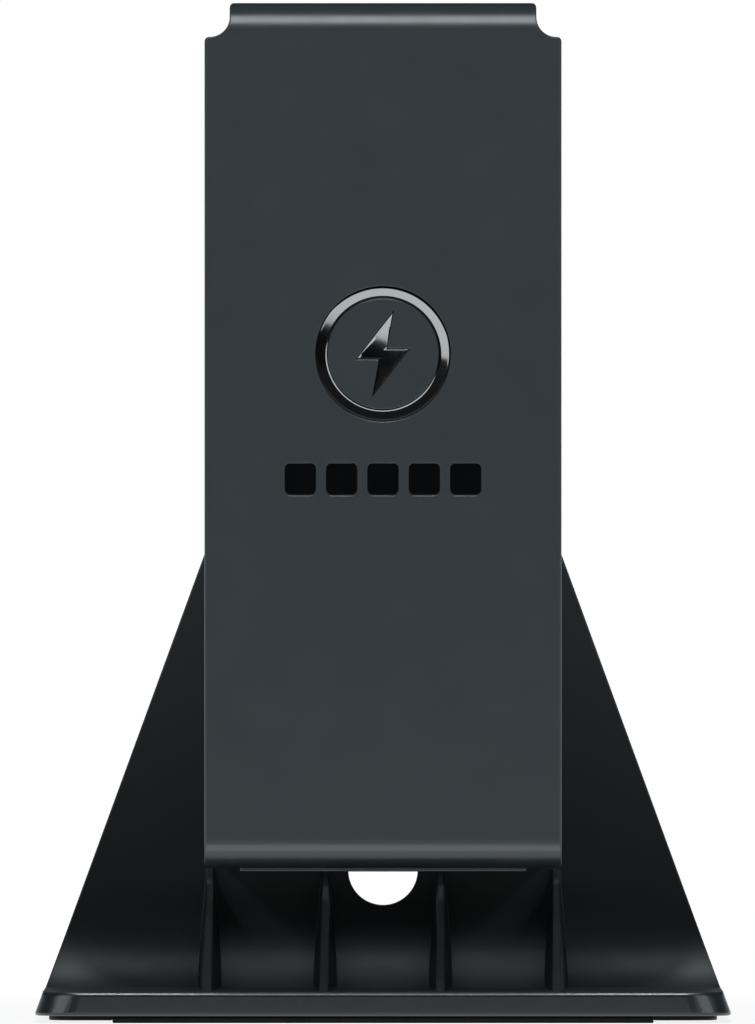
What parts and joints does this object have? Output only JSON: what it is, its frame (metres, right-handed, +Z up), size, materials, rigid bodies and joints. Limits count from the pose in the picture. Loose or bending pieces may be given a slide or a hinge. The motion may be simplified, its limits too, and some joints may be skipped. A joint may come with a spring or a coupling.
{
  "type": "controller charging stand",
  "caption": "Upright charging stand with a folded front cover and slotted side rails for slide-on game controllers, on a triangular ribbed foot.",
  "frame": {"origin": "centre of the foot's rectangle on the desk, under the middle of the bounding box", "axes": "+Z up; +Y from the front cover towards the wall behind the tower; +X to the right seen from the front"},
  "size_m": [0.1162, 0.069, 0.17],
  "materials": {
    "stand_plastic": "fine satin texture",
    "cover_plastic": "fine satin texture",
    "frame_plastic": "fine satin texture",
    "rail_plastic": "smooth satin",
    "gloss_black": "polished",
    "contact_gold": "gold plated",
    "circuit_board": "solder mask",
    "chip_black": "moulded",
    "ferrite": "pressed powder",
    "socket_white": "moulded",
    "ribbon_film": "smooth film",
    "inlet_steel": "plated",
    "base_steel": "black powder coat",
    "foot_rubber": "matt",
    "screw_steel": "black zinc"
  },
  "bodies": {
    "root": {"stand": "stand_plastic", "front_cover": "cover_plastic", "left_side_frame": "frame_plastic", "right_side_frame": "frame_plastic", "front_left_rail": "rail_plastic", "front_right_rail": "rail_plastic", "rear_left_rail": "rail_plastic", "rear_right_rail": "rail_plastic", "front_left_contact_block": "rail_plastic", "front_right_contact_block": "rail_plastic", "rear_left_contact_block": "rail_plastic", "rear_right_contact_block": "rail_plastic", "front_left_contacts": "contact_gold", "front_right_contacts": "contact_gold", "rear_left_contacts": "contact_gold", "rear_right_contacts": "contact_gold", "left_contact_board": "circuit_board", "right_contact_board": "circuit_board", "main_board": "circuit_board", "hub_chip": "chip_black", "charge_chips": "chip_black", "power_coils": "ferrite", "ribbon_sockets": "socket_white", "left_ribbon": "ribbon_film", "right_ribbon": "ribbon_film", "usb_inlet": "inlet_steel", "tower_cap": "frame_plastic", "badge": "gloss_black", "level_bars": "gloss_black", "base_plate": "base_steel", "front_foot_strip": "foot_rubber", "rear_foot_strip": "foot_rubber", "tower_screws": "screw_steel", "rail_screws": "screw_steel", "board_screws": "screw_steel", "cap_screws": "screw_steel", "base_screws": "screw_steel"}
  },
  "joints": []
}
